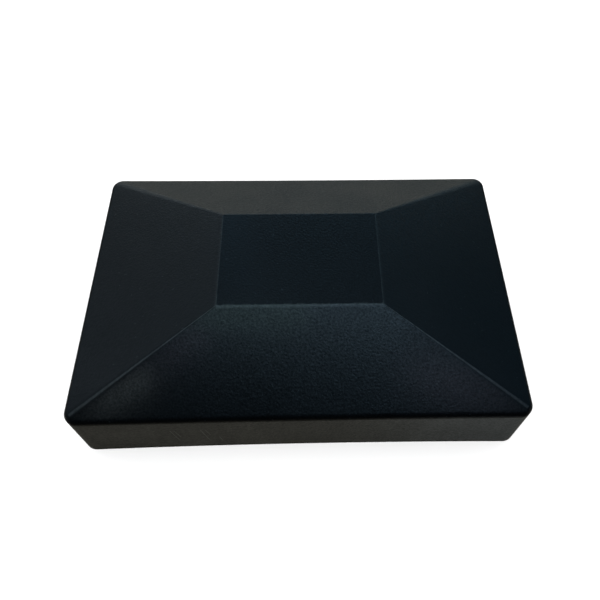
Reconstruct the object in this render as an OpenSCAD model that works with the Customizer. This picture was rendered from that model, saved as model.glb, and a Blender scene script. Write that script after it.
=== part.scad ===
// Rectangular fence post cap: one moulded hollow cap with a flat-topped hip roof,
// fixed through its two short sides by a screw, a cup washer and a rubber seal each.
// Frame: +Z up, +X along the long side, origin at the centre of the open mouth.

/* [Post] */
// Long side of the post that the cap fits
post_w = 150; // [120:1:200]
// Short side of the post that the cap fits
post_d = 100; // [80:1:140]
// Gap between the post and the skirt, on each side
fit_gap = 1; // [0.5:0.1:2]

/* [Cap moulding] */
// Thickness of the skirt and the roof
wall = 2.5; // [2:0.1:3.5]
// Straight height of the skirt, up to where the rounded rim starts
skirt_h = 25; // [22:0.5:40]
// Height from the mouth to the flat top
total_h = 44; // [42:0.5:60]
// Long side of the flat top
plateau_w = 59; // [40:1:80]
// Short side of the flat top
plateau_d = 42; // [24:1:60]
// Outside radius of the four upright corners
corner_r = 4.5; // [4:0.1:8]
// Radius of the rim between the skirt and the roof
rim_r = 2.5; // [1.5:0.1:3]
// Radius of the edges round the flat top
crease_r = 1.5; // [0.5:0.1:2]

/* [Post stops] */
// How far the post goes into the cap
stop_z = 20; // [12:0.5:21]
// Thickness of each stop
stop_t = 2; // [1.5:0.1:3]
// How far each stop reaches in from the skirt
stop_reach = 14; // [8:1:20]
// How far each locating rib stands in from the skirt, under its stop
rib_proud = 0.8; // [0.2:0.1:0.9]
// Height at which the locating ribs start
rib_z = 2; // [1:0.5:6]
// Stops on each long side
long_stops = 3; // [2:1:4]
// Stops on each short side
short_stops = 2; // [2:2:4]
// Distance between the two outer stops of a long side
long_span = 100; // [60:2:140]
// Distance between the two outer stops of a short side
short_span = 54; // [26:2:90]

/* [Side fixings] */
// Height of the screws above the mouth
fixing_z = 10; // [8:0.5:12]
// Outside diameter of the screw thread
screw_d = 4.2; // [3.5:0.1:4.8]
// Length of the screw under its head
screw_l = 16; // [12:1:25]
// Length of the screw's point
point_l = 3.5; // [2:0.5:4]
// Diameter of the pan head
head_d = 8; // [7:0.1:9]
// Height of the pan head
head_h = 2.6; // [2.2:0.1:3.1]
// Across the arms of the cross recess
recess_w = 4.4; // [3:0.1:5]
// Depth of the cross recess
recess_h = 1.8; // [1:0.1:2]
// Diameter of the hole in the skirt
hole_d = 5; // [4.9:0.1:6]
// Diameter of the washer and of its seal
washer_d = 11; // [10:0.5:14]
// Thickness of the steel washer
washer_t = 0.6; // [0.5:0.1:1]
// Thickness of the rubber seal
seal_t = 1.2; // [1:0.1:2]

/* [Hidden] */

LEFT = -1;
RIGHT = 1;
// Clearance of the screw in its washer and seal, on the radius
thread_gap = 0.08;
// Width of an arm of the cross recess
recess_arm = 1.1;
// Radius of the seal's outer edges, and the washer's turned-down lip
edge_r = 0.4;
lip_h = 0.4;
// How far a cutting shape runs past what it cuts
past = 1;

cavity_w = post_w + 2 * fit_gap;
cavity_d = post_d + 2 * fit_gap;
cap_w = cavity_w + 2 * wall;
cap_d = cavity_d + 2 * wall;
cavity_r = corner_r - wall;

// Slope of the roof towards one side: a plane that touches the rim's rounding below and
// the rounding of the flat top's edge above
roof_rise = total_h - crease_r - skirt_h;
function roof_slope(side, flat) =
    let (run = (side - flat) / 2 - rim_r + crease_r)
    atan2(roof_rise, run) - asin((rim_r - crease_r) / norm([run, roof_rise]));
slope_x = roof_slope(cap_w, plateau_w);
slope_y = roof_slope(cap_d, plateau_d);

// The inside of the roof lies one wall thickness in from the outside
function ceiling_size(flat, slope) =
    flat - 2 * crease_r + 2 * (crease_r - wall) * tan(slope / 2);
ceiling_z = total_h - wall;
ceiling_w = ceiling_size(plateau_w, slope_x);
ceiling_d = ceiling_size(plateau_d, slope_y);
eaves_z = ceiling_z - (cavity_w - ceiling_w) / 2 * tan(slope_x);

// Repeats its children at the four corners of a w by d rectangle
module at_corners(w, d) {
    for (x = [-w / 2, w / 2], y = [-d / 2, d / 2])
        translate([x, y, 0]) children();
}

// Places its children on one short side, their +Z pointing out of the skirt
module on_side(side) {
    translate([side * cap_w / 2, 0, fixing_z]) rotate([0, side * 90, 0]) children();
}

// Outside of the cap, with rounded corners, rim, hips and flat top
module outside() {
    hull() {
        at_corners(cap_w - 2 * corner_r, cap_d - 2 * corner_r) {
            cylinder(r = corner_r, h = skirt_h, $fn = 64);
            translate([0, 0, skirt_h])
                rotate_extrude($fn = 64)
                    intersection() {
                        translate([corner_r - rim_r, 0]) circle(r = rim_r, $fn = 48);
                        translate([0, -rim_r]) square([corner_r, 2 * rim_r]);
                    }
        }
        at_corners(plateau_w - 2 * crease_r, plateau_d - 2 * crease_r)
            translate([0, 0, total_h - crease_r])
                rotate_extrude($fn = 32)
                    intersection() {
                        circle(r = crease_r, $fn = 48);
                        translate([0, -crease_r]) square([crease_r, 2 * crease_r]);
                    }
    }
}

// Inside of the cap: the post's space, and the hollow under the roof
module inside() {
    hull() {
        at_corners(cavity_w - 2 * cavity_r, cavity_d - 2 * cavity_r)
            translate([0, 0, -past]) cylinder(r = cavity_r, h = eaves_z + past, $fn = 32);
        translate([-ceiling_w / 2, -ceiling_d / 2, ceiling_z - past])
            cube([ceiling_w, ceiling_d, past]);
    }
}

// A stop for the post's end, with a locating rib below it. It stands in the XZ plane
// with the skirt's inner face at X = 0, and reaches towards +X.
module post_stop() {
    lead_in = 3;
    rotate([90, 0, 0])
        linear_extrude(stop_t, center = true)
            polygon([
                [-past, rib_z],
                [0, rib_z],
                [rib_proud, rib_z + lead_in],
                [rib_proud, stop_z],
                [stop_reach, stop_z],
                [stop_reach, total_h - wall / 2],
                [-past, total_h - wall / 2]
            ]);
}

// Places count children evenly along Y, the outer two span apart
module in_row(count, span) {
    for (i = [0 : count - 1])
        translate([0, (i / (count - 1) - 0.5) * span, 0]) children();
}

module post_stops() {
    for (turn = [0, 180]) {
        rotate([0, 0, turn])
            translate([-cavity_w / 2, 0, 0]) in_row(short_stops, short_span) post_stop();
        rotate([0, 0, turn + 90])
            translate([-cavity_d / 2, 0, 0]) in_row(long_stops, long_span) post_stop();
    }
}

// The moulding: skirt, roof, post stops and the two screw holes
module cap_shell() {
    color([0.06, 0.07, 0.08])
        difference() {
            outside();
            difference() {
                inside();
                post_stops();
            }
            for (side = [LEFT, RIGHT])
                on_side(side)
                    translate([0, 0, -wall - past])
                        cylinder(d = hole_d, h = wall + 2 * past, $fn = 48);
        }
}

// Rubber ring between the washer and the skirt, with rounded outer edges
module seal_ring(side) {
    color([0.03, 0.03, 0.03])
        on_side(side)
            rotate_extrude($fn = 64)
                polygon([
                    [screw_d / 2 + thread_gap, 0],
                    [washer_d / 2 - edge_r, 0],
                    for (a = [-90 : 15 : 90])
                        [washer_d / 2 - edge_r + edge_r * cos(a),
                         seal_t / 2 + (seal_t / 2 - edge_r) * sign(a) + edge_r * sin(a)],
                    [screw_d / 2 + thread_gap, seal_t]
                ]);
}

// Steel washer, with a rounded outer edge that slopes down over the seal
module cup_washer(side) {
    color([0.75, 0.76, 0.78])
        on_side(side)
            translate([0, 0, seal_t])
                rotate_extrude($fn = 64)
                    polygon([
                        [screw_d / 2 + thread_gap, 0],
                        [washer_d / 2, 0],
                        [washer_d / 2, washer_t - lip_h],
                        [washer_d / 2 - lip_h, washer_t],
                        [screw_d / 2 + thread_gap, washer_t]
                    ]);
}

// Profile of the pan head: a short upright side, then an arc over the top
function head_profile(r, h, side_h) =
    let (rise = h - side_h, dome_r = (r * r + rise * rise) / (2 * rise), edge = asin(r / dome_r))
    [[0, 0], [r, 0], [r, side_h],
     for (i = [1 : 8]) let (a = edge * (1 - i / 8))
         [dome_r * sin(a), h - dome_r + dome_r * cos(a)]];

// Self-tapping pan head screw: the shank has the thread's outside diameter
module fixing_screw(side) {
    shank_l = screw_l - point_l;
    color([0.75, 0.76, 0.78])
        on_side(side)
            translate([0, 0, seal_t + washer_t]) {
                difference() {
                    rotate_extrude($fn = 64) polygon(head_profile(head_d / 2, head_h, head_h / 3));
                    for (turn = [0, 90])
                        rotate([0, 0, turn])
                            translate([-recess_w / 2, -recess_arm / 2, head_h - recess_h])
                                cube([recess_w, recess_arm, recess_h + past]);
                }
                translate([0, 0, -shank_l]) cylinder(d = screw_d, h = shank_l, $fn = 48);
                translate([0, 0, -screw_l])
                    cylinder(d1 = screw_d / 8, d2 = screw_d, h = point_l, $fn = 48);
            }
}

cap_shell();
fixing_screw(LEFT);  // fixing_screw_left
fixing_screw(RIGHT);  // fixing_screw_right
cup_washer(LEFT);  // cup_washer_left
cup_washer(RIGHT);  // cup_washer_right
seal_ring(LEFT);  // seal_ring_left
seal_ring(RIGHT);  // seal_ring_right
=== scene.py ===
"""The looks of a fence post cap: one black moulding, and a screw, washer and seal in each short side.

Lengths are in metres, in the frame of the CAD model: +X along the cap, +Z up, origin at the mouth.
"""

import math

import bmesh
import bpy
from mathutils import Matrix, Vector

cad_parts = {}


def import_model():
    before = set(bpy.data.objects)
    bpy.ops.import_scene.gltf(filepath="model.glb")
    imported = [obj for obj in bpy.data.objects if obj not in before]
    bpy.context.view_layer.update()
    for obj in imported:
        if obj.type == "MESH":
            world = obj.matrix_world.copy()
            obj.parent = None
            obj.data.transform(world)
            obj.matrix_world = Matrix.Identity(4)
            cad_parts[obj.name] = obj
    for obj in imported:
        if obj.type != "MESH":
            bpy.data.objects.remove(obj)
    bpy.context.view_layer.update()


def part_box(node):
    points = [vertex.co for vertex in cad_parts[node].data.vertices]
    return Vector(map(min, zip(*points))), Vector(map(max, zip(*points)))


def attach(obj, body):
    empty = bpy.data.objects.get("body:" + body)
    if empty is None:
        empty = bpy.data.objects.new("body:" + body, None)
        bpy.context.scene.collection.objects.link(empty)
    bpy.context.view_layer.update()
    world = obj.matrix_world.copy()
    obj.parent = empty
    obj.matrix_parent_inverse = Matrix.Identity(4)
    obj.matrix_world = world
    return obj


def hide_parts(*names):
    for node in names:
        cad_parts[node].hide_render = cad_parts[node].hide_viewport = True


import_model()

MM = 0.001
SIDES = {"left": -1, "right": 1}


# ---------------------------------------------------------------- sizes

CAP_LOW, CAP_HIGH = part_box("cap_shell")
CAP_SIZE = CAP_HIGH - CAP_LOW
TOP_Z = CAP_HIGH.z

WALL = 2.5 * MM
SKIRT_TOP = 25 * MM
FLAT_SIZE = (59 * MM, 42 * MM)
CORNER_R = 4.5 * MM
RIM_R = 2.5 * MM
CREASE_R = 1.5 * MM
# Rounding of the mouth's two edges
FOOT_R = 0.5 * MM
# Radius where the roof meets the skirt and the flat ceiling, inside
INNER_R = 0.8 * MM

STOP_Z = 20 * MM
STOP_T = 2 * MM
STOP_REACH = 14 * MM
RIB_PROUD = 0.8 * MM
RIB_Z = 2 * MM
RIB_LEAD_IN = 3 * MM
LONG_STOPS = (-50 * MM, 0, 50 * MM)
SHORT_STOPS = (-27 * MM, 27 * MM)

# How far shrinkage pulls the middle of each long side in, at the mouth and at the rim
PULL_AT_MOUTH = 0.8 * MM
PULL_AT_RIM = 0.35 * MM

# Wear and painted highlight run from 0 to 1: the ridges are pale partly from rubbing and partly
# from painted highlight for the light they catch. The ridges at the sides have this much, those
# at the front up to twice as much and those at the back hardly any.
SIDE_RIDGE_WEAR_AND_HIGHLIGHT = 0.75
# Shares of a crease's wear and painted highlight: at its foot, and at the edge of the flat top
CREASE_FOOT_SHARE = 0.7
CREASE_EDGE_SHARE = 0.65
# How closely a hip's wear and painted highlight keep to the middle of its rounding
HIP_WEAR_AND_HIGHLIGHT_FOCUS = 5
RIM_WEAR = 0.25
FLAT_EDGE_WEAR = 0.1

# Steps round and up the moulding's mesh
STEPS_X = 52
STEPS_Y = 36
STEPS_CORNER = 12
STEPS_WALL = 7
STEPS_RIM = 8
STEPS_SLOPE = 18
STEPS_CREASE = 5
STEPS_FOOT = 4


# ---------------------------------------------------------------- mesh helpers


def finish_mesh(name, work, sharp_angle=math.radians(32)):
    """Makes an object of a bmesh: smooth faces, with edges sharper than the angle kept crisp."""
    bmesh.ops.recalc_face_normals(work, faces=work.faces)
    for face in work.faces:
        face.smooth = True
    for edge in work.edges:
        edge.smooth = edge.calc_face_angle(0) < sharp_angle
    mesh = bpy.data.meshes.new(name)
    work.to_mesh(mesh)
    work.free()
    thing = bpy.data.objects.new(name, mesh)
    bpy.context.scene.collection.objects.link(thing)
    return thing


def bake_modifiers(thing):
    """Replaces an object's mesh by what its modifiers make of it, and removes them."""
    graph = bpy.context.evaluated_depsgraph_get()
    mesh = bpy.data.meshes.new_from_object(thing.evaluated_get(graph), depsgraph=graph)
    thing.modifiers.clear()
    thing.data = mesh


def combine(thing, other, operation):
    """Joins other to thing or cuts it away, and deletes other."""
    step = thing.modifiers.new("combine", "BOOLEAN")
    step.operation = operation
    step.solver = "EXACT"
    step.object = other
    bake_modifiers(thing)
    bpy.data.objects.remove(other)


def even_shading(thing, sharp_angle=math.radians(32)):
    """Marks the crisp edges again and lets the large faces set the shading beside the roundings."""
    work = bmesh.new()
    work.from_mesh(thing.data)
    for face in work.faces:
        face.smooth = True
    for edge in work.edges:
        edge.smooth = edge.calc_face_angle(0) < sharp_angle
    work.to_mesh(thing.data)
    work.free()
    weigh = thing.modifiers.new("weigh", "WEIGHTED_NORMAL")
    weigh.keep_sharp = True
    bake_modifiers(thing)


def add_quads(work, rings, closed_rings=True):
    """Faces between each ring of vertices and the next."""
    for lower, upper in zip(rings, rings[1:]):
        count = len(lower)
        for i in range(count if closed_rings else count - 1):
            j = (i + 1) % count
            work.faces.new((lower[i], lower[j], upper[j], upper[i]))


def lathe(name, profile, segments, closed):
    """A turned form. Profile points are (radius, height); a closed profile is a ring's section."""
    work = bmesh.new()
    turns = [2 * math.pi * k / segments for k in range(segments)]
    rings = [
        [work.verts.new((r * math.cos(t), r * math.sin(t), z)) for t in turns] for r, z in profile
    ]
    if closed:
        rings.append(rings[0])
    add_quads(work, rings)
    bmesh.ops.remove_doubles(work, verts=work.verts, dist=0.001 * MM)
    return finish_mesh(name, work)


def arc(centre, radius, start, end, steps):
    """Points along an arc in a profile, with the angles in degrees."""
    angles = [math.radians(start + (end - start) * k / steps) for k in range(steps + 1)]
    return [(centre[0] + radius * math.cos(a), centre[1] + radius * math.sin(a)) for a in angles]


# ---------------------------------------------------------------- the moulding


class HipForm:
    """A box with round upright corners, a rounded rim and four slopes up to a flat top."""

    def __init__(self, size, corner_r, rim_r, skirt_top, flat, crease_r, top):
        self.corner_r, self.rim_r, self.crease_r = corner_r, rim_r, crease_r
        self.skirt_top, self.top = skirt_top, top
        self.low = (size[0] / 2 - corner_r, size[1] / 2 - corner_r)
        self.high = (flat[0] / 2 - crease_r, flat[1] / 2 - crease_r)

    def tilt(self, out):
        """How far the slope's normal stands above level, on the spoke that points this way."""
        run = sum((a - b) * abs(o) for a, b, o in zip(self.low, self.high, out))
        run += self.corner_r - self.rim_r
        rise = self.top - self.crease_r - self.skirt_top
        tangent = math.asin((self.rim_r - self.crease_r) / math.hypot(run, rise))
        return math.atan2(run, rise) + tangent

    def point(self, spoke, centre, reach, z):
        """The point on a spoke that stands reach out from the given centres, at height z."""
        out, place = spoke
        return Vector((
            place[0] * centre[0] + out[0] * reach,
            place[1] * centre[1] + out[1] * reach,
            z,
        ))

    def rim_point(self, spoke, angle):
        reach = self.corner_r - self.rim_r + self.rim_r * math.cos(angle)
        return self.point(spoke, self.low, reach, self.skirt_top + self.rim_r * math.sin(angle))

    def crease_point(self, spoke, angle):
        z = self.top - self.crease_r + self.crease_r * math.sin(angle)
        return self.point(spoke, self.high, self.crease_r * math.cos(angle), z)

    def climb(self, spoke, foot_z):
        """(point, level of rubbing and painted highlight) pairs up one spoke, from the foot of the wall
        to the edge of the flat top.
        """
        out = spoke[0]
        tilt = self.tilt(out)
        # Wear and painted highlight of this spoke's ridges: the front ones get the most, the back ones
        # hardly any
        ridge_wear_and_highlight = min(1, SIDE_RIDGE_WEAR_AND_HIGHLIGHT * (1 - out[1]))
        hip = ridge_wear_and_highlight * (2 * abs(out[0] * out[1])) ** HIP_WEAR_AND_HIGHLIGHT_FOCUS
        path = []
        for k in range(STEPS_WALL):
            z = foot_z + (self.skirt_top - foot_z) * k / STEPS_WALL
            path.append((self.point(spoke, self.low, self.corner_r, z), 0))
        for k in range(STEPS_RIM):
            path.append((self.rim_point(spoke, tilt * k / STEPS_RIM), RIM_WEAR))
        start, end = self.rim_point(spoke, tilt), self.crease_point(spoke, tilt)
        for k in range(STEPS_SLOPE):
            path.append((start.lerp(end, k / STEPS_SLOPE), hip))
        for k in range(STEPS_CREASE):
            angle = tilt + (math.pi / 2 - tilt) * k / STEPS_CREASE
            share = CREASE_FOOT_SHARE + (1 - CREASE_FOOT_SHARE) * k / (STEPS_CREASE - 1)
            path.append((self.crease_point(spoke, angle), ridge_wear_and_highlight * share))
        path.append((self.crease_point(spoke, math.pi / 2), ridge_wear_and_highlight * CREASE_EDGE_SHARE))
        return path


def make_spokes():
    """Anticlockwise (direction, place) pairs. A place of (1, 1) is the centre of a corner."""
    spokes = []
    sides = [((0, -1), STEPS_X), ((1, 0), STEPS_Y), ((0, 1), STEPS_X), ((-1, 0), STEPS_Y)]
    for side, (out, steps) in enumerate(sides):
        along = (-out[1], out[0])
        for k in range(steps + 1):
            t = 2 * k / steps - 1
            spokes.append((out, (out[0] + along[0] * t, out[1] + along[1] * t)))
        corner = (out[0] + along[0], out[1] + along[1])
        for k in range(1, STEPS_CORNER):
            angle = math.pi / 2 * (side - 1 + k / STEPS_CORNER)
            spokes.append(((math.cos(angle), math.sin(angle)), corner))
    return spokes


def pulled(point):
    """A point of the moulding after shrinkage has drawn its long sides in a little."""
    height = min(point.z / SKIRT_TOP, 1)
    pull = PULL_AT_MOUTH + (PULL_AT_RIM - PULL_AT_MOUTH) * height
    along = min(abs(point.x) / (CAP_SIZE.x / 2), 1)
    share = 1 - pull / (CAP_SIZE.y / 2) * (1 - along ** 2)
    return Vector((point.x, point.y * share, point.z))


def flat_grid(work, form, wear_and_highlight):
    """The flat top or ceiling of a form, to the edge of its rounded crease."""
    rows = []
    for j in range(STEPS_Y + 1):
        y = form.high[1] * (2 * j / STEPS_Y - 1)
        xs = [form.high[0] * (2 * i / STEPS_X - 1) for i in range(STEPS_X + 1)]
        rows.append([work.verts.new(pulled(Vector((x, y, form.top)))) for x in xs])
    for row in rows:
        for vert in row:
            at_edge = vert in (row[0], row[-1]) or row in (rows[0], rows[-1])
            vert[wear_and_highlight] = FLAT_EDGE_WEAR if at_edge else 0
    add_quads(work, rows, closed_rings=False)


def outer_form():
    return HipForm(
        (CAP_SIZE.x, CAP_SIZE.y), CORNER_R, RIM_R, SKIRT_TOP, FLAT_SIZE, CREASE_R, TOP_Z
    )


def inner_form(outer):
    """The hollow: everything lies one wall thickness in from the outside."""
    size = (CAP_SIZE.x - 2 * WALL, CAP_SIZE.y - 2 * WALL)
    flat = []
    for side, out in enumerate(((1, 0), (0, 1))):
        half_slope = (math.pi / 2 - outer.tilt(out)) / 2
        edge = outer.high[side] + (CREASE_R - WALL) * math.tan(half_slope)
        flat.append(2 * (edge + INNER_R * (1 - math.tan(half_slope))))
    eaves = TOP_Z - WALL
    slope = math.pi / 2 - outer.tilt((1, 0))
    eaves -= (size[0] / 2 - flat[0] / 2 + INNER_R * (1 - math.tan(slope / 2))) * math.tan(slope)
    skirt_top = eaves - INNER_R * math.tan((math.pi / 2 - slope) / 2)
    return HipForm(size, CORNER_R - WALL, INNER_R, skirt_top, flat, INNER_R, TOP_Z - WALL)


def foot_rings(form, spokes, turn):
    """Rings round one edge of the mouth; turn is 1 outside and -1 inside, where it rounds outwards."""
    rings = []
    for k in range(STEPS_FOOT + 1):
        angle = math.pi / 2 * k / STEPS_FOOT
        reach = form.corner_r - turn * FOOT_R * (1 - math.cos(angle))
        z = FOOT_R * (1 - math.sin(angle))
        rings.append([(form.point(s, form.low, reach, z), 0) for s in spokes])
    return rings


def post_stop_tool(outline, place, turn):
    """One stop with its rib: outline points are (distance in from the skirt, height)."""
    work = bmesh.new()
    faces = []
    for y in (-STOP_T / 2, STOP_T / 2):
        faces.append(work.faces.new([work.verts.new((d, y, z)) for d, z in outline]))
    count = len(outline)
    front, back = (list(face.verts) for face in faces)
    for i in range(count):
        j = (i + 1) % count
        work.faces.new((front[i], front[j], back[j], back[i]))
    bmesh.ops.recalc_face_normals(work, faces=work.faces)
    bmesh.ops.bevel(
        work, geom=list(work.edges), offset=0.2 * MM, segments=2, profile=0.5, affect="EDGES"
    )
    move = Matrix.Rotation(turn, 4, "Z") @ Matrix.Translation(place)
    for vert in work.verts:
        vert.co = pulled(move @ vert.co)
    return finish_mesh("post_stop_tool", work)


def post_stop_tools(inner):
    """The ten stops. Each one's outer edges lie buried in the skirt and the roof."""
    buried = 1.2 * MM
    tools = []
    reach_x, reach_y = CAP_SIZE.x / 2 - WALL, CAP_SIZE.y / 2 - WALL
    rows = (
        (reach_x, SHORT_STOPS, 0, (1, 0)),
        (reach_y, LONG_STOPS, math.pi / 2, (0, 1)),
    )
    for reach, places, turn, out in rows:
        slope = math.pi / 2 - inner.tilt(out)
        eaves = inner.top - (reach - inner.high[0 if out[0] else 1]) * math.tan(slope)
        outline = [
            (-buried, RIB_Z),
            (0, RIB_Z),
            (RIB_PROUD, RIB_Z + RIB_LEAD_IN),
            (RIB_PROUD, STOP_Z),
            (STOP_REACH, STOP_Z),
            (STOP_REACH, eaves + STOP_REACH * math.tan(slope) + buried),
            (-buried, eaves + buried - buried * math.tan(slope)),
        ]
        for half_turn in (0, math.pi):
            for place in places:
                tools.append(post_stop_tool(outline, Vector((-reach, place, 0)), turn + half_turn))
    return tools


def moulding_marks():
    """Witness marks on the ceiling: the gate's stub in the middle and four ejector pins."""
    ceiling = TOP_Z - WALL
    pin_r, pin_h = 4 * MM, 0.15 * MM
    gate_r, gate_h = 1.6 * MM, 0.9 * MM
    sunk = 0.5 * MM
    marks = []
    for x in (-19 * MM, 19 * MM):
        for y in (-11 * MM, 11 * MM):
            profile = [(0, sunk), (pin_r, sunk), (pin_r, -pin_h), (0, -pin_h)]
            marks.append((profile, (x, y)))
    stub = [(0, sunk), (gate_r * 1.3, sunk), (gate_r, -0.5 * gate_h)]
    stub += arc((gate_r - 0.3 * MM, -gate_h + 0.3 * MM), 0.3 * MM, 0, -90, 4) + [(0, -gate_h)]
    marks.append((stub, (0, 0)))
    tools = []
    for profile, (x, y) in marks:
        tool = lathe("mark_tool", profile, 40, closed=False)
        tool.data.transform(Matrix.Translation((x, y, ceiling)))
        tools.append(tool)
    return tools


def screw_hole_tools():
    """Cutters for the two screw holes, flared a little where they leave the skirt."""
    hole_r, flare, past = 2.5 * MM, 0.3 * MM, 1 * MM
    tools = []
    for side, sign in SIDES.items():
        half = WALL / 2
        profile = [
            (0, -half - past),
            (hole_r + flare + past, -half - past),
            (hole_r + flare, -half),
            (hole_r, -half + flare),
            (hole_r, half - flare),
            (hole_r + flare, half),
            (hole_r + flare + past, half + past),
            (0, half + past),
        ]
        tool = lathe("hole_tool", profile, 48, closed=False)
        seat = fixing_seat(side)
        tool.data.transform(
            Matrix.Translation(seat - Vector((sign * half, 0, 0))) @ facing(sign)
        )
        tools.append(tool)
    return tools


def cap_moulding():
    """The whole moulding as one closed mesh, with the level of its ridges' rubbing and painted highlight
    stored on the vertices.
    """
    outer = outer_form()
    inner = inner_form(outer)
    spokes = make_spokes()
    outside = list(zip(*[outer.climb(s, FOOT_R) for s in spokes]))
    inside = list(zip(*[inner.climb(s, FOOT_R) for s in spokes]))
    rings = outside[::-1]
    rings += foot_rings(outer, spokes, 1)[1:]
    rings += foot_rings(inner, spokes, -1)[::-1][:-1]
    rings += [[(point, 0) for point, _ in ring] for ring in inside]

    work = bmesh.new()
    # The ridges' wear and painted highlight, from 0 to 1 on each vertex
    wear_and_highlight = work.verts.layers.float.new("wear_and_highlight")
    made = []
    for ring in rings:
        made.append([])
        for point, amount in ring:
            vert = work.verts.new(pulled(point))
            vert[wear_and_highlight] = amount
            made[-1].append(vert)
    add_quads(work, made)
    flat_grid(work, outer, wear_and_highlight)
    flat_grid(work, inner, wear_and_highlight)
    bmesh.ops.remove_doubles(work, verts=work.verts, dist=0.002 * MM)
    cap = finish_mesh("cap_moulding", work)
    for tool in post_stop_tools(inner) + moulding_marks():
        combine(cap, tool, "UNION")
    for tool in screw_hole_tools():
        combine(cap, tool, "DIFFERENCE")
    even_shading(cap)
    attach(cap, "cap")
    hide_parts("cap_shell")
    return cap


# ---------------------------------------------------------------- the fixings


def fixing_seat(side):
    """Where the screw's axis leaves the skirt, from the seal ring's box."""
    low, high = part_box("seal_ring_" + side)
    x = low.x if SIDES[side] > 0 else high.x
    return Vector((x, 0, (low.z + high.z) / 2))


def facing(sign):
    """Turns +Z to point out of the right side (1) or the left side (-1)."""
    return Matrix.Rotation(sign * math.pi / 2, 4, "Y")


def thickness(node):
    """A fixing's extent along the screw's axis."""
    low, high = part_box(node)
    return high.x - low.x


def seal_ring(side):
    """Rubber ring with round outer edges, a moulded groove and a lip that grips the screw."""
    height = thickness("seal_ring_" + side)
    outer_r, bore_r, edge, groove = 5.5 * MM, 2.18 * MM, 0.42 * MM, 0.16 * MM
    profile = [(bore_r, 0.25 * MM), (bore_r + 0.25 * MM, 0)]
    profile += arc((outer_r - edge, edge), edge, -90, -5, 6)
    profile += [(outer_r - groove, height / 2)]
    profile += arc((outer_r - edge, height - edge), edge, 5, 90, 6)
    profile += [(bore_r + 0.25 * MM, height), (bore_r, height - 0.25 * MM)]
    return lathe("seal_ring_%s_rubber" % side, profile, 96, closed=True)


def cup_washer(side):
    """Pressed steel washer: a rolled outer lip, a shallow dish and a rounded bore."""
    height = thickness("cup_washer_" + side)
    outer_r, bore_r, seat_r = 5.5 * MM, 2.18 * MM, 3.9 * MM
    lip, dish = 0.22 * MM, 0.12 * MM
    profile = [(bore_r, 0.1 * MM), (bore_r + 0.1 * MM, 0), (outer_r - 0.1 * MM, 0), (outer_r, 0.08 * MM)]
    profile += arc((outer_r - lip, height - dish - lip), lip, 0, 75, 6)
    profile += [(seat_r + 0.25 * MM, height - 0.02 * MM), (seat_r, height)]
    profile += [(bore_r + 0.15 * MM, height), (bore_r, height - 0.12 * MM)]
    washer = lathe("cup_washer_%s_steel" % side, profile, 96, closed=True)
    washer.data.transform(Matrix.Translation((0, 0, thickness("seal_ring_" + side))))
    return washer


def recess_arms(head_h):
    """Cutters for the two arms of a cross recess, which narrow towards its foot."""
    depth, past = 1.8 * MM, 0.6 * MM
    top_reach, foot_reach = 2.35 * MM, 1.25 * MM
    top_half, foot_half = 0.58 * MM, 0.42 * MM
    grow = 1 + past / depth
    levels = (
        (head_h - depth, foot_reach, foot_half),
        (head_h + past, foot_reach + (top_reach - foot_reach) * grow,
         foot_half + (top_half - foot_half) * grow),
    )
    arms = []
    for turn in (0, math.pi / 2):
        spin = Matrix.Rotation(turn, 3, "Z")
        work = bmesh.new()
        rings = []
        for z, reach, half in levels:
            corners = [(reach, -half), (reach, half), (-reach, half), (-reach, -half)]
            rings.append([work.verts.new(spin @ Vector((x, y, z))) for x, y in corners])
        add_quads(work, rings)
        work.faces.new(rings[0])
        work.faces.new(rings[1])
        arms.append(finish_mesh("recess_arm", work))
    return arms


def thread_rings(work, core_r, crest_r, tip_z, top_z, pitch, segments):
    """Rows of vertices that climb with the thread, so that its crest is one clean edge."""
    point_l, neck = 3.5 * MM, 0.9 * MM
    section = [(0.0, 1.0), (0.07, 1.0), (0.30, 0.0), (0.55, 0.0), (0.77, 0.0)]
    rows = []
    start = tip_z - pitch
    turns = math.ceil((top_z - start) / pitch) + 1
    for turn in range(turns):
        for share, crest in section:
            row = []
            for k in range(segments + 1):
                z = start + pitch * (turn + share + k / segments)
                z = min(max(z, tip_z), top_z)
                point = min((z - tip_z) / point_l, 1)
                run_out = min(max((top_z - z) / neck, 0), 1)
                radius = core_r + (crest_r - core_r) * crest * run_out
                angle = 2 * math.pi * k / segments
                reach = radius * point ** 0.85
                row.append(work.verts.new((reach * math.cos(angle), reach * math.sin(angle), z)))
            rows.append(row)
    add_quads(work, rows, closed_rings=False)


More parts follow.
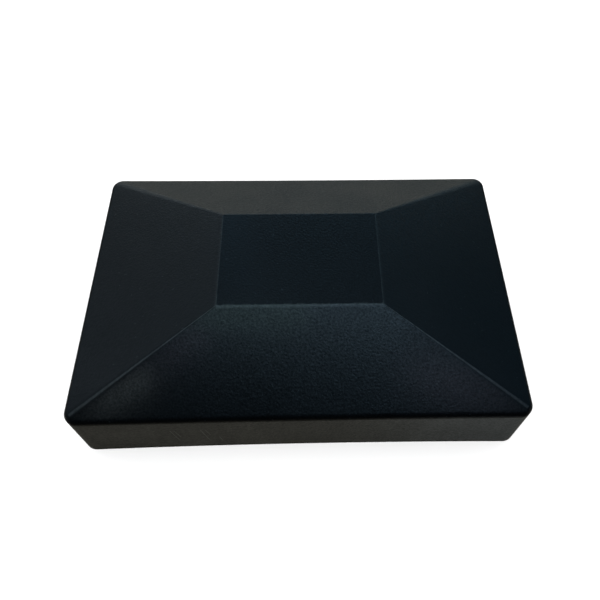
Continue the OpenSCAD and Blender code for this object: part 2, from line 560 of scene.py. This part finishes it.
def fixing_screw(side):
    """Self-tapping pan head screw with a real thread, a sharp point and a cross recess."""
    low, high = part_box("fixing_screw_" + side)
    base = thickness("seal_ring_" + side) + thickness("cup_washer_" + side)
    length, head_r, head_h = 16 * MM, (high.z - low.z) / 2, 2.6 * MM
    core_r, crest_r, pitch = 1.5 * MM, 2.08 * MM, 1.4 * MM
    segments = 48
    work = bmesh.new()
    thread_rings(work, core_r, crest_r, -length, 0, pitch, segments)
    rise, under, edge = 0.62 * head_h, 0.12 * MM, 0.3 * MM
    dome_r = (head_r ** 2 + rise ** 2) / (2 * rise)
    profile = [(core_r, 0), (head_r - under, 0), (head_r, under)]
    profile += arc((head_r - edge, head_h - rise - edge / 2), edge, 0, 50, 4)
    widest = profile[-1]
    centre_z = head_h - dome_r
    first = math.asin(widest[0] / dome_r)
    for k in range(1, 13):
        angle = first * (1 - k / 12)
        drop = (widest[1] - (centre_z + dome_r * math.cos(first))) * (1 - k / 12)
        profile.append((dome_r * math.sin(angle), centre_z + dome_r * math.cos(angle) + drop))
    turns = [2 * math.pi * k / segments for k in range(segments)]
    rings = [
        [work.verts.new((r * math.cos(t), r * math.sin(t), z)) for t in turns] for r, z in profile
    ]
    add_quads(work, rings)
    bmesh.ops.remove_doubles(work, verts=work.verts, dist=0.004 * MM)
    bmesh.ops.dissolve_degenerate(work, edges=work.edges, dist=0.002 * MM)
    screw = finish_mesh("fixing_screw_%s_steel" % side, work)
    for arm in recess_arms(head_h):
        combine(screw, arm, "DIFFERENCE")
    even_shading(screw)
    screw.data.transform(Matrix.Translation((0, 0, base)))
    return screw


def fixings(side):
    """One side's screw, washer and seal, each riding on its own body."""
    # How far each recess happens to be turned once its screw is tight
    turned = {"left": math.radians(17), "right": math.radians(-34)}[side]
    place = Matrix.Translation(fixing_seat(side)) @ facing(SIDES[side])
    made = {
        "fixing_screw": (fixing_screw(side), "screw", "screw_steel"),
        "cup_washer": (cup_washer(side), "washer", "washer_steel"),
        "seal_ring": (seal_ring(side), "washer", "seal_rubber"),
    }
    for node, (piece, body, slot) in made.items():
        spin = Matrix.Rotation(turned, 4, "Z") if node == "fixing_screw" else Matrix.Identity(4)
        piece.data.transform(place @ spin)
        piece.data.update()
        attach(piece, "%s_%s" % (side, body))
        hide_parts("%s_%s" % (node, side))
    return {node: piece for node, (piece, body, slot) in made.items()}


# ---------------------------------------------------------------- materials


class Shader:
    """A material's node tree, with one short call for each node."""

    def __init__(self, name):
        self.material = bpy.data.materials.new(name)
        self.material.use_nodes = True
        self.tree = self.material.node_tree
        self.surface = self.tree.nodes["Principled BSDF"]
        self.place = self.add("TexCoord").outputs["Object"]

    def add(self, kind, inputs=(), **settings):
        """Adds a node. Each of its inputs is a value, or the socket that it comes from."""
        made = self.tree.nodes.new("ShaderNode" + kind)
        for key, value in settings.items():
            setattr(made, key, value)
        for key, value in dict(inputs).items():
            self.put(made.inputs[key], value)
        return made

    def put(self, socket, value):
        if isinstance(value, bpy.types.NodeSocket):
            self.tree.links.new(value, socket)
        else:
            socket.default_value = value

    def set(self, **inputs):
        """Sets the surface's own sockets, named with _ for a space."""
        for key, value in inputs.items():
            self.put(self.surface.inputs[key.replace("_", " ")], value)

    def stretched(self, scale):
        """The place on the piece, scaled differently along each axis."""
        return self.add("Mapping", {"Vector": self.place, "Scale": scale}).outputs[0]

    def noise(self, scale, detail=2.0, roughness=0.5, place=None):
        inputs = {
            "Vector": place or self.place, "Scale": scale, "Detail": detail, "Roughness": roughness
        }
        return self.add("TexNoise", inputs).outputs[0]

    def math(self, operation, a, b=0.0, clamp=False):
        made = self.add("Math", {0: a, 1: b}, operation=operation)
        made.use_clamp = clamp
        return made.outputs[0]

    def ramp(self, value, low, high, to_low=0.0, to_high=1.0, smooth=True):
        """Maps the range low to high onto to_low to to_high, and holds it outside."""
        inputs = {"Value": value, 1: low, 2: high, 3: to_low, 4: to_high}
        kind = "SMOOTHSTEP" if smooth else "LINEAR"
        return self.add("MapRange", inputs, interpolation_type=kind).outputs[0]

    def mix(self, share, a, b):
        """Mixes two colours."""
        made = self.add("Mix", data_type="RGBA")
        self.put(made.inputs["Factor"], share)
        colours = [s for s in made.inputs if s.type == "RGBA"]
        for socket, value in zip(colours, (a, b)):
            self.put(socket, value if isinstance(value, bpy.types.NodeSocket) else (*value, 1))
        return [s for s in made.outputs if s.type == "RGBA"][0]

    def bump(self, height, distance, strength=1.0, under=None):
        inputs = {"Height": height, "Distance": distance, "Strength": strength}
        if under is not None:
            inputs["Normal"] = under
        return self.add("Bump", inputs).outputs[0]


def scratch(shader, x, z, lean, length, width):
    """A mask that is 1 along one fine slanted scratch, seen from the front, and 0 away from it."""
    along = Vector((lean, 0, -1)).normalized()
    flat = shader.add("VectorMath", {0: shader.place, 1: (1, 0, 1)}, operation="MULTIPLY").outputs[0]
    offset = shader.add("VectorMath", {0: flat, 1: (x, 0, z)}, operation="SUBTRACT").outputs[0]
    run = shader.add("VectorMath", {0: offset, 1: along}, operation="DOT_PRODUCT").outputs["Value"]
    side = (-along.z, 0, along.x)
    across = shader.add("VectorMath", {0: offset, 1: side}, operation="DOT_PRODUCT").outputs["Value"]
    line = shader.ramp(shader.math("ABSOLUTE", across), width * 0.3, width * 0.5, 1, 0)
    ends = shader.ramp(shader.math("ABSOLUTE", run), length * 0.3, length * 0.5, 1, 0)
    return shader.math("MULTIPLY", line, ends)


# Fine scratches on the front of the skirt: x and height of the middle, lean, and length, in mm
SCRATCHES = (
    (-44, 12.5, 0.17, 13),
    (-42.8, 14, 0.2, 8),
    (-33.5, 12, 0.18, 14),
    (-32.3, 15, 0.2, 7),
    (-28.5, 8, 0.2, 5),
)
SCRATCH_WIDTH = 0.5 * MM

BLACK_DARK = (0.0030, 0.0036, 0.0044)
BLACK_LIGHT = (0.0048, 0.0056, 0.0066)
SKIRT_DARK = (0.016, 0.0165, 0.0145)
SKIRT_LIGHT = (0.023, 0.024, 0.021)
# Ridge colour: pale from rubbing, and partly painted highlight
RUBBED_AND_HIGHLIGHT_PALE = (0.108, 0.108, 0.102)
SPECK_PALE = (0.09, 0.095, 0.10)
SCRATCH_PALE = (0.26, 0.26, 0.235)


def plastic():
    """Black moulded plastic: spark-eroded grain, ridges pale from rubbing and painted highlight, and a
    skirt dulled by handling, with painted shade in its shine.
    """
    s = Shader("black_moulded_plastic")
    parts = s.add("SeparateXYZ", {0: s.place}).outputs
    height = parts["Z"]
    cloud = s.noise(42, detail=3)
    fine = s.noise(3300, detail=2, roughness=0.6)
    coarse = s.noise(1250, detail=2)
    wear_and_highlight = s.add("Attribute", attribute_name="wear_and_highlight").outputs["Fac"]

    body = s.mix(s.ramp(cloud, 0.3, 0.7), BLACK_DARK, BLACK_LIGHT)
    skirt = s.ramp(height, SKIRT_TOP - 0.4 * MM, SKIRT_TOP + 0.1 * MM, 1, 0)
    drag = s.noise(1, detail=3, place=s.stretched((260, 260, 28)))
    dulled = s.mix(s.ramp(drag, 0.3, 0.7), SKIRT_DARK, SKIRT_LIGHT)
    colour = s.mix(skirt, body, dulled)

    # Pale ridges: rubbing, and painted highlight that stands in for the light the ridges catch
    chips = s.ramp(s.noise(620, detail=4, roughness=0.7), 0.3, 0.7, 0.55, 1)
    rubbed_and_highlight = s.math("MULTIPLY", s.ramp(wear_and_highlight, 0.35, 1.0), chips, clamp=True)
    colour = s.mix(rubbed_and_highlight, colour, RUBBED_AND_HIGHLIGHT_PALE)

    specks = s.ramp(s.noise(900, detail=0), 0.80, 0.86)
    colour = s.mix(s.math("MULTIPLY", specks, 0.25), colour, SPECK_PALE)

    marks = None
    for x, z, lean, length in SCRATCHES:
        line = scratch(s, x * MM, z * MM, lean, length * MM, SCRATCH_WIDTH)
        marks = line if marks is None else s.math("MAXIMUM", marks, line)
    marks = s.math("MULTIPLY", marks, s.ramp(coarse, 0.35, 0.55, 0.3, 1))
    marks = s.math("MULTIPLY", marks, s.math("LESS_THAN", parts["Y"], 0))
    colour = s.mix(s.math("MULTIPLY", marks, 0.5), colour, SCRATCH_PALE)

    # Painted shade in the skirt's shine: it is duller towards the mouth, along its bottom edge and just
    # under the rim
    shine = s.ramp(height, 0, SKIRT_TOP, 0.27, 0.64, smooth=False)
    shine = s.math("MULTIPLY", shine, s.ramp(drag, 0.3, 0.7, 0.92, 1.08))
    shine = s.ramp(skirt, 0, 1, 0.5, shine, smooth=False)
    # Painted contact shade along the bottom edge, broken up by noise
    bottom_edge_shade = s.math("MULTIPLY", s.ramp(height, 0.8 * MM, 2.6 * MM, 0.8, 0),
                  s.ramp(coarse, 0.3, 0.6, 0.6, 1))
    # Painted shade: a dark band in the shine on the rim's rounding
    rim = s.math("MULTIPLY", s.ramp(height, SKIRT_TOP - 1.1 * MM, SKIRT_TOP - 0.6 * MM),
                 s.ramp(height, SKIRT_TOP + 0.6 * MM, SKIRT_TOP + 2 * MM, 0.9, 0))
    shine = s.math("MULTIPLY", shine, s.math("SUBTRACT", 1, s.math("MAXIMUM", bottom_edge_shade, rim)))

    # Fine light and dark flecks in the shine of surfaces that face the front, on the front slope and the
    # front skirt: partly scuffing, partly painted sheen
    facing_y = s.add("SeparateXYZ", {0: s.add("TexCoord").outputs["Normal"]}).outputs["Y"]
    scuff_and_sheen_flecks = s.math("SUBTRACT", s.noise(1500, detail=1), 0.5)
    scuff_and_sheen_flecks = s.math("MULTIPLY", scuff_and_sheen_flecks, s.ramp(facing_y, -0.4, -0.25, 1.4, 0))
    shine = s.math("MULTIPLY", shine, s.math("ADD", scuff_and_sheen_flecks, 1))

    rough = s.ramp(coarse, 0.25, 0.75, 0.44, 0.54)
    rough = s.math("ADD", rough, s.ramp(cloud, 0.3, 0.7, -0.025, 0.025))
    rough = s.math("SUBTRACT", rough, s.math("MULTIPLY", rubbed_and_highlight, 0.14))
    rough = s.math("ADD", rough, s.math("MULTIPLY", skirt, 0.04))

    grain = s.bump(fine, 0.022 * MM, 0.8)
    grain = s.bump(coarse, 0.11 * MM, 1.0, under=grain)
    s.set(Base_Color=colour, Roughness=rough, Specular_IOR_Level=shine, Normal=grain, IOR=1.5)
    return s.material


def turned_steel(name, tone, rough_range, centre_z):
    """Steel with fine marks round the screw's axis and a little staining."""
    s = Shader(name)
    parts = s.add("SeparateXYZ", {0: s.place}).outputs
    up = s.math("SUBTRACT", parts["Z"], centre_z)
    across = s.math("SQRT", s.math("ADD", s.math("MULTIPLY", up, up),
                                   s.math("MULTIPLY", parts["Y"], parts["Y"])))
    rings = s.add("CombineXYZ", {"X": s.math("MULTIPLY", across, 9000),
                                 "Y": s.math("MULTIPLY", parts["X"], 2500)}).outputs[0]
    lines = s.noise(1, detail=3, roughness=0.6, place=rings)
    stain = s.noise(420, detail=4, roughness=0.6)
    dark = tuple(v * 0.72 for v in tone)
    colour = s.mix(s.ramp(stain, 0.35, 0.7), tone, dark)
    rough = s.ramp(lines, 0.3, 0.7, *rough_range)
    rough = s.math("ADD", rough, s.ramp(stain, 0.45, 0.75, 0, 0.12))
    s.set(Base_Color=colour, Metallic=1.0, Roughness=rough)
    s.set(Normal=s.bump(lines, 0.006 * MM, 0.5))
    return s.material


def rubber():
    """Black rubber: dull, faintly grained, with a dusty bloom."""
    s = Shader("seal_rubber")
    bloom = s.noise(500, detail=4, roughness=0.6)
    grain = s.noise(5200, detail=2)
    colour = s.mix(s.ramp(bloom, 0.35, 0.75), (0.010, 0.010, 0.011), (0.030, 0.030, 0.029))
    s.set(Base_Color=colour, Roughness=s.ramp(bloom, 0.3, 0.7, 0.68, 0.85))
    s.set(Normal=s.bump(grain, 0.02 * MM, 0.6))
    return s.material


def paint(thing, material):
    thing.data.materials.clear()
    thing.data.materials.append(material)


# ---------------------------------------------------------------- studio

# The room's light on the object, from the table below it and from everywhere else
WORLD_BELOW = (0.329, 0.321, 0.274)
WORLD_DIM = (0.008, 0.010, 0.012)

# Steady light on the floor that casts no shadow, and the little that does
FLOOR_EVEN = 4.3
FLOOR_SHADOWED = 0.5

CENTRE = (0, 0, 0)
# name, aim point in mm, azimuth, elevation, distance, (width, height), watts in red, green and blue
SOFTBOXES = (
    ("back_wall", CENTRE, 180, 4, 1.0, (1.6, 0.25), (1.49, 1.51, 1.34)),
    ("back_high", CENTRE, 180, 30, 1.0, (0.35, 0.35), (0.26, 0.50, 0.70)),
    ("back_left", CENTRE, -150, 25, 1.0, (0.35, 0.35), (0.36, 0.48, 0.58)),
    ("back_right", CENTRE, 150, 25, 1.0, (0.35, 0.35), (0.12, 0.27, 0.39)),
    ("left_side", CENTRE, -110, 30, 1.0, (0.5, 0.5), (0.40, 0.50, 0.59)),
    ("right_side", CENTRE, 110, 30, 1.0, (0.5, 0.5), (0.06, 0.14, 0.21)),
    ("front_ridge", (0, -22, 43), 0, 72, 0.06, (0.12, 0.02), (0.0073, 0.0108, 0.0138)),
    ("front_right", (35, -22, 43), 40, 66, 0.22, (0.05, 0.02), (0.019, 0.032, 0.043)),
    ("front_ridge_left", (-18, -22, 43), 0, 63, 0.012, (0.04, 0.004), (0.00018, 0.00032, 0.00026)),
    ("left_hip_low", (-66, -46, 29.5), 33.6, 62, 0.014, (0.026, 0.006), (0.00032, 0.00038, 0.00040)),
    ("left_hip_high", (-46, -33, 36.5), 33.6, 62, 0.014, (0.022, 0.006), (0.00012, 0.00011, 0.00015)),
    ("right_hip", (62, -44, 30), -20, 60, 0.025, (0.04, 0.01), (0.00055, 0.00055, 0.00074)),
    ("flat_top_left", (-27, 3, 44), 180, 57, 0.025, (0.01, 0.04), (0.00003, 0.00010, 0.00018)),
    ("table_front_right", (60, -53, 12), 38, -60, 0.2, (0.12, 0.12), (0.0087, 0.0108, 0.0126)),
    ("table_left", CENTRE, -90, -24, 1.0, (1.0, 0.4), (0.60, 0.62, 0.60)),
    ("table_right", CENTRE, 90, -24, 1.0, (1.0, 0.4), (0.60, 0.62, 0.60)),
    ("table_back", CENTRE, 180, -32, 1.0, (1.0, 0.3), (0.60, 0.62, 0.60)),
)


def direction(azimuth, elevation):
    """Unit vector towards a place round the object: azimuth 0 is the front, 90 the right side."""
    a, e = math.radians(azimuth), math.radians(elevation)
    return Vector((math.sin(a) * math.cos(e), -math.cos(a) * math.cos(e), math.sin(e)))


def collection_of(name, things):
    group = bpy.data.collections.new(name)
    for thing in things:
        group.objects.link(thing)
    return group


def softbox(name, aim, azimuth, elevation, distance, size, watts, receivers):
    """A soft rectangular light that faces the aim point and lights only the receivers."""
    light = bpy.data.lights.new(name, "AREA")
    light.shape = "RECTANGLE"
    light.size, light.size_y = size
    light.energy = max(watts)
    light.color = [w / max(watts) for w in watts]
    lamp = bpy.data.objects.new(name, light)
    towards = direction(azimuth, elevation)
    lamp.location = Vector(aim) * MM + towards * distance
    lamp.rotation_mode = "QUATERNION"
    lamp.rotation_quaternion = towards.to_track_quat("Z", "Y")
    lamp.light_linking.receiver_collection = receivers
    lamp.visible_camera = False
    bpy.context.scene.collection.objects.link(lamp)


def floor_sun(name, irradiance, spread, receivers, blockers=None):
    """Even overhead light for the floor, with soft shadows or, given no blockers in it, none."""
    light = bpy.data.lights.new(name, "SUN")
    light.energy = irradiance
    light.angle = math.radians(spread)
    lamp = bpy.data.objects.new(name, light)
    lamp.light_linking.receiver_collection = receivers
    if blockers is not None:
        lamp.light_linking.blocker_collection = blockers
    bpy.context.scene.collection.objects.link(lamp)


def floor():
    """A plain white floor just under the mouth, seen only by the camera."""
    work = bmesh.new()
    bmesh.ops.create_grid(work, x_segments=8, y_segments=8, size=6)
    bmesh.ops.translate(work, verts=work.verts, vec=(0, 0, -0.02 * MM))
    sheet = finish_mesh("studio_floor", work)
    s = Shader("studio_white")
    tone = s.ramp(s.noise(3, detail=1), 0.3, 0.7, 0.88, 0.90)
    s.set(Base_Color=s.add("CombineColor", {0: tone, 1: tone, 2: tone}).outputs[0])
    s.set(Roughness=0.9, Specular_IOR_Level=0.0)
    paint(sheet, s.material)
    sheet.visible_glossy = False
    sheet.visible_diffuse = False
    sheet.visible_shadow = False
    return sheet


def world():
    """White to the camera; to the object, a dim room with a lit table close below it."""
    made = bpy.data.worlds.new("studio")
    made.use_nodes = True
    tree = made.node_tree
    tree.nodes.clear()

    def add(kind, **settings):
        node = tree.nodes.new("ShaderNode" + kind)
        for key, value in settings.items():
            setattr(node, key, value)
        return node

    place = add("TexCoord")
    parts = add("SeparateXYZ")
    tree.links.new(place.outputs["Generated"], parts.inputs[0])
    ramp = add("ValToRGB")
    level = add("MapRange")
    level.inputs[1].default_value, level.inputs[2].default_value = -1, 1
    tree.links.new(parts.outputs["Z"], level.inputs[0])
    tree.links.new(level.outputs[0], ramp.inputs[0])
    # (sine of the elevation, colour) from straight below to straight above
    sky = ((-1.0, WORLD_BELOW), (-0.78, WORLD_BELOW), (-0.62, WORLD_DIM), (1.0, WORLD_DIM))
    stops = ramp.color_ramp.elements
    while len(stops) < len(sky):
        stops.new(0.5)
    for stop, (sine, colour) in zip(stops, sky):
        stop.position = (sine + 1) / 2
        stop.color = (*colour, 1)
    dim, white, seen, mix, out = (
        add("Background"), add("Background"), add("LightPath"), add("MixShader"), add("OutputWorld")
    )
    tree.links.new(ramp.outputs[0], dim.inputs[0])
    white.inputs[1].default_value = 1.0
    white.inputs[0].default_value = (1, 1, 1, 1)
    tree.links.new(seen.outputs["Is Camera Ray"], mix.inputs[0])
    tree.links.new(dim.outputs[0], mix.inputs[1])
    tree.links.new(white.outputs[0], mix.inputs[2])
    tree.links.new(mix.outputs[0], out.inputs[0])
    bpy.context.scene.world = made


def camera():
    """The viewpoint: in front of the cap and well above it, turned and rolled a little."""
    azimuth, elevation, roll = -3.393, 56.575, math.radians(2.163)
    distance, aim = 262.96 * MM, Vector((10.17 * MM, 18.52 * MM, 0))
    back = direction(azimuth, elevation)
    lens = bpy.data.cameras.new("camera")
    lens.lens, lens.sensor_width = 36.54, 36
    lens.shift_x, lens.shift_y = -0.0406, -0.0311
    lens.clip_start, lens.clip_end = 10 * MM, 50
    eye = bpy.data.objects.new("camera", lens)
    turn = back.to_track_quat("Z", "Y").to_matrix().to_4x4()
    eye.matrix_world = (
        Matrix.Translation(aim + back * distance) @ turn @ Matrix.Rotation(roll, 4, "Z")
    )
    bpy.context.scene.collection.objects.link(eye)
    bpy.context.scene.camera = eye


def studio(parts):
    scene = bpy.context.scene
    scene.view_settings.view_transform = "Standard"
    ground = floor()
    on_parts = collection_of("lit_parts", parts)
    on_floor = collection_of("lit_floor", [ground])
    floor_sun("floor_even", FLOOR_EVEN, 150, on_floor, blockers=collection_of("nothing", [ground]))
    floor_sun("floor_shadowed", FLOOR_SHADOWED, 120, on_floor)
    for name, *settings in SOFTBOXES:
        softbox(name, *settings, on_parts)
    world()
    camera()


# ---------------------------------------------------------------- the scene

cap = cap_moulding()
paint(cap, plastic())
parts = [cap]
steel = {
    "fixing_screw": turned_steel("screw_steel", (0.60, 0.60, 0.61), (0.20, 0.34), fixing_seat("left").z),
    "cup_washer": turned_steel("washer_steel", (0.52, 0.52, 0.53), (0.28, 0.44), fixing_seat("left").z),
    "seal_ring": rubber(),
}
for side in SIDES:
    for node, piece in fixings(side).items():
        paint(piece, steel[node])
        parts.append(piece)
studio(parts)
